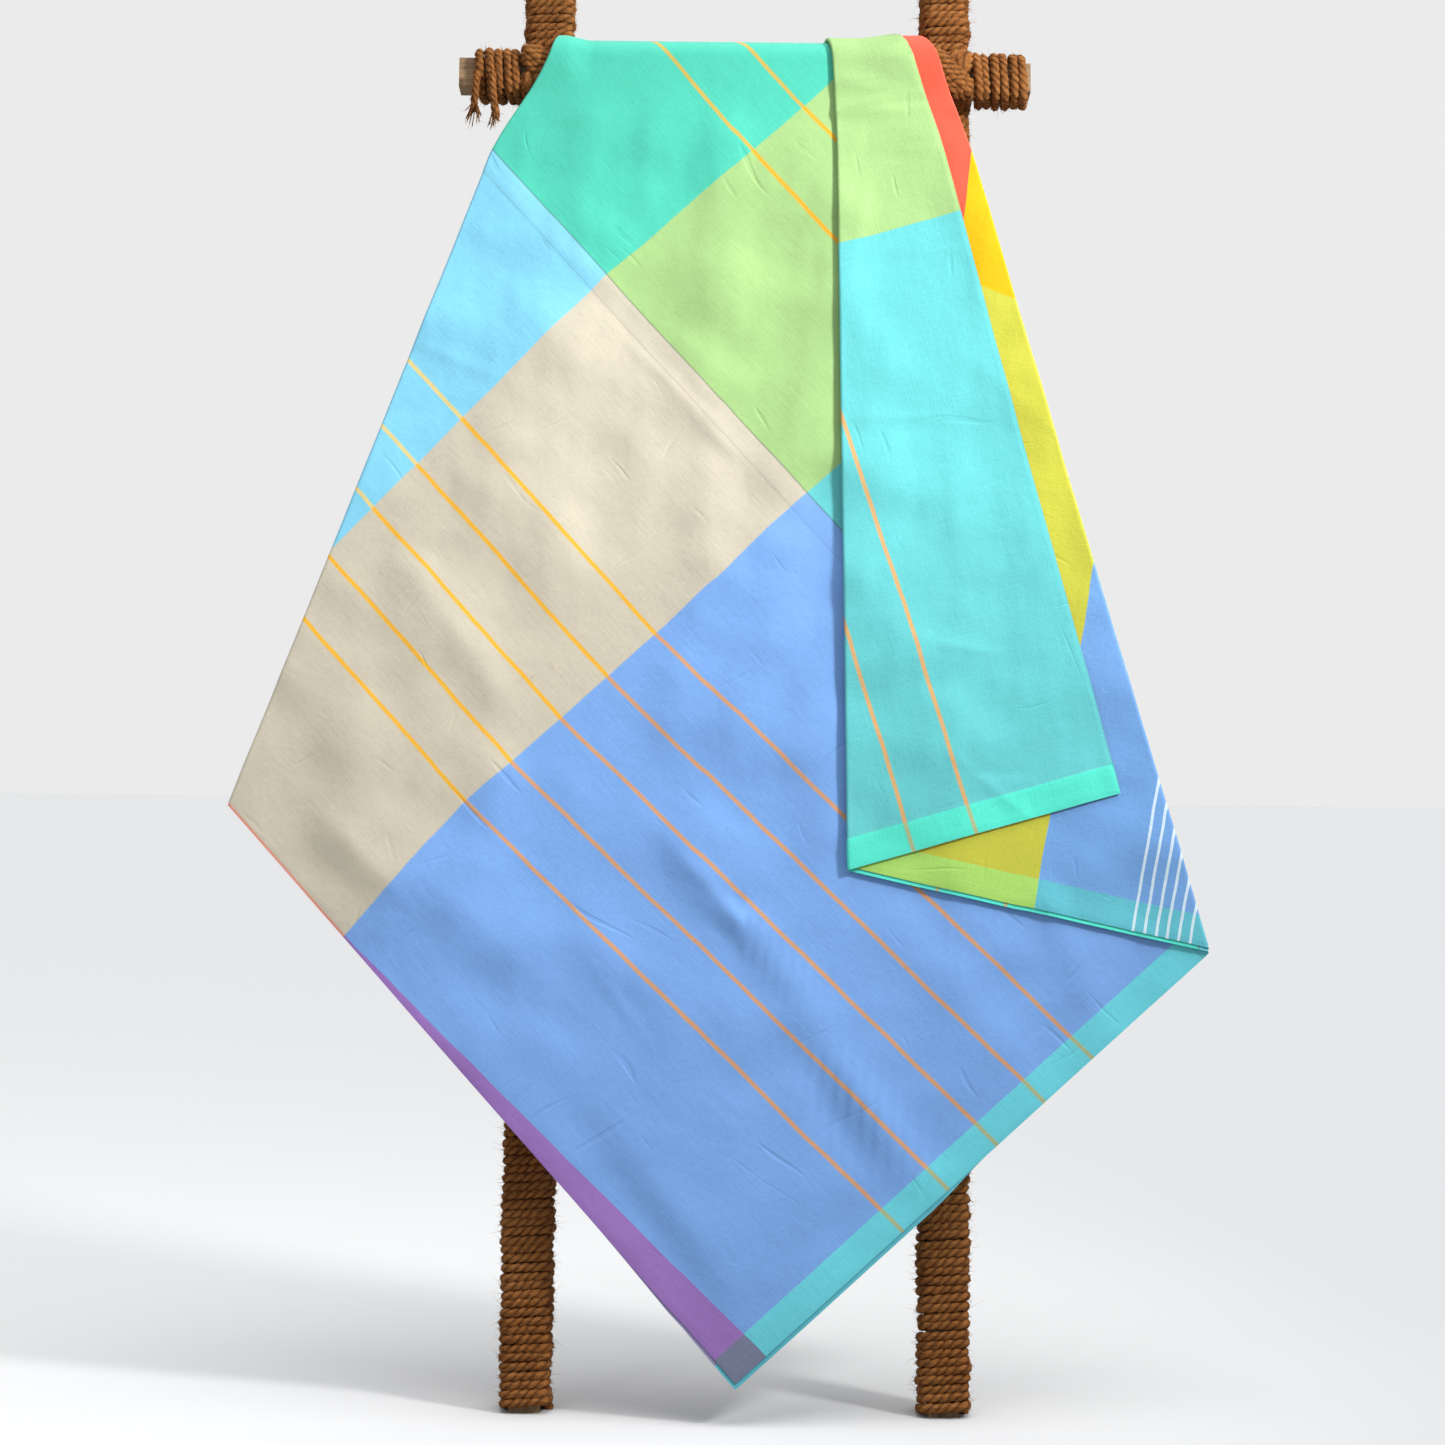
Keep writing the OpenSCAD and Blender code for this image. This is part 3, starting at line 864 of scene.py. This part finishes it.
def fibres(points, count, rng, axis, lengths, thick, rings):
    """Loose hairs standing off the rope: tapered three-sided slivers, curled if over two rings."""
    roots = points[rng.integers(len(points), size=count)]
    middle = np.broadcast_to(points.mean(0), roots.shape).copy()
    middle[:, axis] = roots[:, axis]
    out = roots - middle
    out /= np.linalg.norm(out, axis=1, keepdims=True)
    way = out + 0.9 * rng.standard_normal((count, 3))
    way /= np.linalg.norm(way, axis=1, keepdims=True)
    bend = rng.uniform(-0.45, 0.45, (count, 3))
    length = rng.uniform(*lengths, count)
    t = np.linspace(0, 1, rings)
    straight = (length[:, None] * t)[..., None]
    curl = (length[:, None] * t ** 2)[..., None]
    line = roots[:, None] + way[:, None] * straight + bend[:, None] * curl
    side = np.cross(way, [0.2, 0.5, 0.84])
    side /= np.linalg.norm(side, axis=1, keepdims=True)
    up = np.cross(side, way)
    angle = np.radians([0, 120, 240])
    ring = np.cos(angle)[None, :, None] * side[:, None] + np.sin(angle)[None, :, None] * up[:, None]
    size = thick * (1 - 0.8 * t)
    tube = line[:, :, None] + size[None, :, None, None] * ring[:, None]
    k, m, c = np.meshgrid(np.arange(count), np.arange(rings - 1), np.arange(3), indexing="ij")
    here, after = (k * rings + m) * 3, (k * rings + m + 1) * 3
    d = (c + 1) % 3
    faces = np.stack([here + c, here + d, after + d, after + c], -1).reshape(-1, 4)
    return tube.reshape(-1, 3), faces, np.zeros((count * rings * 3, 2))


def on_floor(points):
    """The rope is cut off level with the floor."""
    points[:, 2] = np.maximum(points[:, 2], 0.0)
    return points


def rope_piece(name, parts, length, axis, mats, rng, node):
    """A rope piece and its hairs, in place of one CAD node; length is how much batten it covers."""
    points, faces, uv = join(parts)
    long_hairs = fibres(points, int(HAIRS * length), rng, axis, (0.004, 0.016), 0.00026, 5)
    fuzz = fibres(points, int(FUZZ * length), rng, axis, (0.0015, 0.0050), 0.00036, 2)
    hair_points, hair_faces, hair_uv = join([long_hairs, fuzz])
    rope = mesh_object(name, on_floor(to_world(points)), faces, mats[0], uv)
    hair = mesh_object(name + "_hairs", on_floor(to_world(hair_points)), hair_faces, mats[1], hair_uv)
    for piece in (rope, hair):
        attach(piece, "rack")
    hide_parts(node)


def make_ropes():
    mats = (rope_material(), fibre_material())
    rng = np.random.default_rng(ROPE_SEED)
    half = HALF_WRAP - ROPE_R
    gap = HALF_WRAP + 0.0005
    for side, x in (("left", -POST_X), ("right", POST_X)):
        lows = [POST_FOOT] + [s + gap - TUCK for s in RUNG_S]
        highs = [s - gap + TUCK for s in RUNG_S] + [POST_TOP]
        for k, (low, high) in enumerate(zip(lows, highs), 1):
            p, q, along = winding(low, high, half, rng)
            path = np.stack([x + p, q, along], -1)
            part = rope_tube(path, ROPE_R, rng)
            rope_piece(f"rope_post_{side}_{k}", [part], high - low, 2, mats, rng,
                       f"post_wrap_{side}_{k}")
    for i, s in enumerate(RUNG_S, 1):
        clear = POST_X - gap + TUCK
        spans = {
            f"rung_wrap_{i}": (-clear, clear),
            f"rung_end_wrap_left_{i}": (RUNG_LEFT + BARE_END, -POST_X - gap + TUCK),
            f"rung_end_wrap_right_{i}": (POST_X + gap - TUCK, RUNG_RIGHT),
        }
        for node, (low, high) in spans.items():
            p, q, along = winding(low, high, half, rng)
            path = np.stack([along, RUNG_Y + p, s + q], -1)
            part = rope_tube(path, ROPE_R, rng)
            rope_piece("rope_" + node, [part], high - low, 0, mats, rng, node)
        for side, x in (("left", -POST_X), ("right", POST_X)):
            parts = lashing_parts(x, s, rng)
            if side == "left" and i == len(RUNG_S):
                parts += loose_ends(s, rng)
            rope_piece(f"rope_lashing_{side}_{i}", parts, LASHING_LENGTH, 0, mats, rng,
                       f"lashing_{side}_{i}")


def lashing_parts(x, s, rng):
    """Turns of a diagonal lashing: across the rung's front, back past the corner, across behind the post.
    The second set crosses the first and lies on top of it."""
    parts = []
    corner = BATTEN / 2 + ROPE_D / 2
    for way, lift in ((1, 0.0), (-1, LASHING_LIFT)):
        for k in range(-2, 3):
            shift = k * LASHING_PITCH
            front = RUNG_Y - BATTEN / 2 - LASHING_R - lift - LASHING_CROWN * (2 - abs(k)) / 2
            back = BATTEN / 2 + LASHING_R + lift
            ends = []
            for sign in (-1, 1):
                cx = sign * way * corner - way * shift * 0.70
                cz = sign * corner + shift * 0.70
                ends.append((np.clip(cx, -corner - 0.002, corner + 0.002),
                             np.clip(cz, -corner - 0.002, corner + 0.002)))
            (ax, az), (bx, bz) = ends
            key = [(ax, front, az), ((ax + bx) / 2, front - 0.0015, (az + bz) / 2), (bx, front, bz),
                   (bx * 1.02, (front + back) / 2, bz * 1.02), (bx, back, bz),
                   ((ax + bx) / 2, back + 0.0015, (az + bz) / 2), (ax, back, az),
                   (ax * 1.02, (front + back) / 2, az * 1.02)]
            loop = closed_curve(np.array(key) + [x, 0, s], 12)
            parts.append(rope_tube(loop, LASHING_R, rng, closed=True, sides=10))
    return parts


def loose_ends(s, rng):
    """Two cut rope ends that hang from the left stub of the top rung, frayed at the tip."""
    parts = []
    front = RUNG_Y - HALF_WRAP - 0.002
    for x, sway, drop in LOOSE_ENDS:
        t = np.linspace(0, 1, 26)
        core = np.stack([x + sway * t ** 2, front - 0.006 * np.sin(math.pi * t) + 0.004 * t,
                         s - 0.004 - drop * t], -1)
        parts.append(rope_tube(core, END_R, rng))
        for _ in range(FRAY_COUNT):
            start = core[-7] + rng.uniform(-0.003, 0.003, 3)
            way = np.array([rng.uniform(-0.009, 0.009), rng.uniform(-0.007, 0.005),
                            rng.uniform(-0.030, -0.014)])
            curl = rng.uniform(-0.004, 0.004, 3)
            k = np.linspace(0, 1, 8)[:, None]
            parts.append(rope_tube(start + way * k + curl * k ** 2, FRAY_R, rng, sides=5))
    return parts


def closed_curve(key, steps):
    """A smooth closed curve through the key points."""
    out = []
    count = len(key)
    t = np.linspace(0, 1, steps, endpoint=False)[:, None]
    for i in range(count):
        p0, p1, p2, p3 = (key[(i + d - 1) % count] for d in range(4))
        tension = 0.32
        m1, m2 = (p2 - p0) * tension, (p3 - p1) * tension
        out.append((2 * t ** 3 - 3 * t ** 2 + 1) * p1 + (t ** 3 - 2 * t ** 2 + t) * m1
                   + (-2 * t ** 3 + 3 * t ** 2) * p2 + (t ** 3 - t ** 2) * m2)
    return np.concatenate(out)


# ---------------------------------------------------------------- wood
def wood_material(name, axis):
    """Weathered softwood with its grain along the batten's own axis."""
    n = Nodes(name)
    place = n.add("ShaderNodeTexCoord", "Object")
    split = n.tree.nodes.new("ShaderNodeSeparateXYZ")
    n.put(split.inputs[0], place)
    x, y, z = split.outputs
    slow, fast = 3.0, 240.0
    scales = (slow, fast, fast) if axis == "x" else (fast, fast, slow)
    grain_at = n.vector(*(n.math("MULTIPLY", c, k) for c, k in zip((x, y, z), scales)))
    grain = n.noise(grain_at, 1.0, 4.0, 0.6)
    rings_at = n.vector(*(n.math("MULTIPLY", c, k) for c, k in zip((x, y, z), (k * 0.25 for k in scales))))
    rings = n.noise(rings_at, 1.0, 2.0)
    tone = n.math("ADD", n.math("MULTIPLY", grain, 0.6), n.math("MULTIPLY", rings, 0.4))
    ramp = n.tree.nodes.new("ShaderNodeValToRGB")
    for element, (spot, code) in zip(ramp.color_ramp.elements, [(0.3, "6E563F"), (0.68, "B3926C")]):
        element.position = spot
        element.color = srgb(code)
    n.put(ramp.inputs[0], tone)
    n.put(n.shader.inputs["Base Color"], ramp.outputs[0])
    n.shader.inputs["Roughness"].default_value = 0.8
    n.put(n.shader.inputs["Normal"], n.bump(grain, 0.0006, 0.5))
    return n.mat


def dress_battens():
    upright = wood_material("batten_wood_upright", "z")
    across = wood_material("batten_wood_across", "x")
    for name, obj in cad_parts.items():
        if name.startswith("post_left") or name.startswith("post_right"):
            obj.data.materials.clear()
            obj.data.materials.append(upright)
        elif name.startswith("rung_") and "wrap" not in name:
            obj.data.materials.clear()
            obj.data.materials.append(across)


make_camera()
make_studio()
make_ropes()
dress_battens()
make_quilt()
